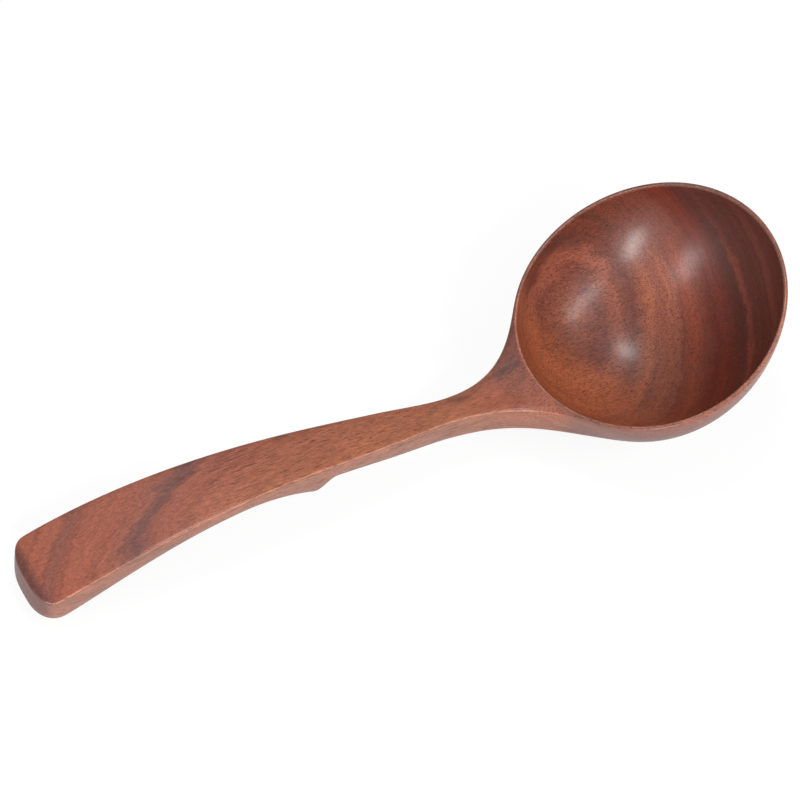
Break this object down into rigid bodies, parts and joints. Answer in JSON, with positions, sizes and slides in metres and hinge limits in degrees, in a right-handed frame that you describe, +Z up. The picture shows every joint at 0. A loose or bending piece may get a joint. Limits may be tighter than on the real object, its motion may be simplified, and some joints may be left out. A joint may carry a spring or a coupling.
{
  "type": "soup ladle",
  "caption": "Carved wooden soup ladle with a round bowl, a neck that flares into its rim, and an arched handle with a hook underneath that catches the rim of a pot.",
  "frame": {"origin": "centre of the bounding box's bottom face, on the surface that the ladle lies on", "axes": "+X from the handle's end to the front of the bowl, +Z up; Y = 0 is the plane of symmetry"},
  "size_m": [0.285, 0.098, 0.0665],
  "materials": {
    "wood": "oiled reddish-brown hardwood, semi-gloss, grain along the handle"
  },
  "bodies": {
    "root": {"ladle": "wood"}
  },
  "joints": []
}
